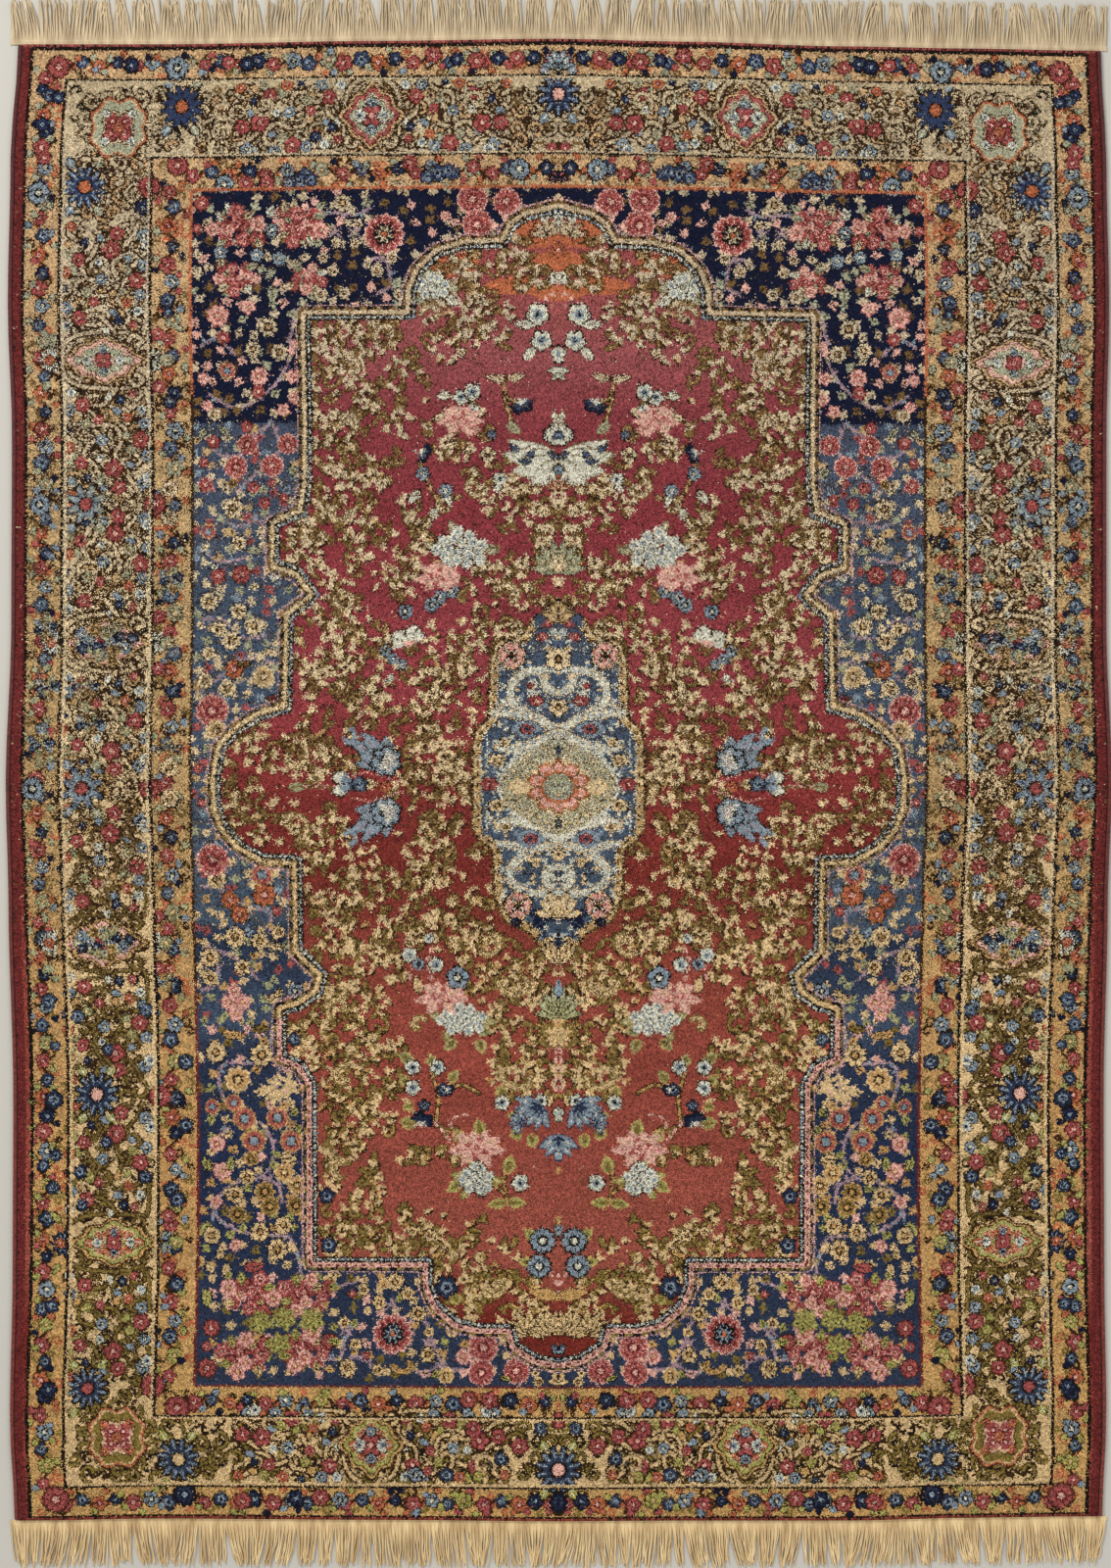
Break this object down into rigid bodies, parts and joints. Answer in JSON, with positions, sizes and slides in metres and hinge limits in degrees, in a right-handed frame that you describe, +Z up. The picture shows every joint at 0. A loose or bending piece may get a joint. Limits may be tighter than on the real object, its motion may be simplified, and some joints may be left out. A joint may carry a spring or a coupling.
{
  "type": "hand-knotted persian rug",
  "caption": "Flat rectangular knotted wool rug with overcast side cords and a cotton fringe along each end.",
  "frame": {"origin": "on the floor under the middle of the knotted pile", "axes": "+X to the rug's right as seen from above, +Y along its length to the top end, +Z up out of the pile"},
  "size_m": [1.5836, 2.2658, 0.009],
  "materials": {
    "wool_pile": "clipped knotted wool pile, soft sheen, many-coloured floral pattern on madder red, navy and ivory",
    "overcast_yarn": "madder red wool yarn wound closely round the side warps, matte",
    "cotton_fringe": "natural cotton warp yarn, twisted, matte"
  },
  "bodies": {
    "root": {"pile_body": "wool_pile", "side_cord_left": "overcast_yarn", "side_cord_right": "overcast_yarn", "fringe_top": "cotton_fringe", "fringe_bottom": "cotton_fringe"}
  },
  "joints": []
}
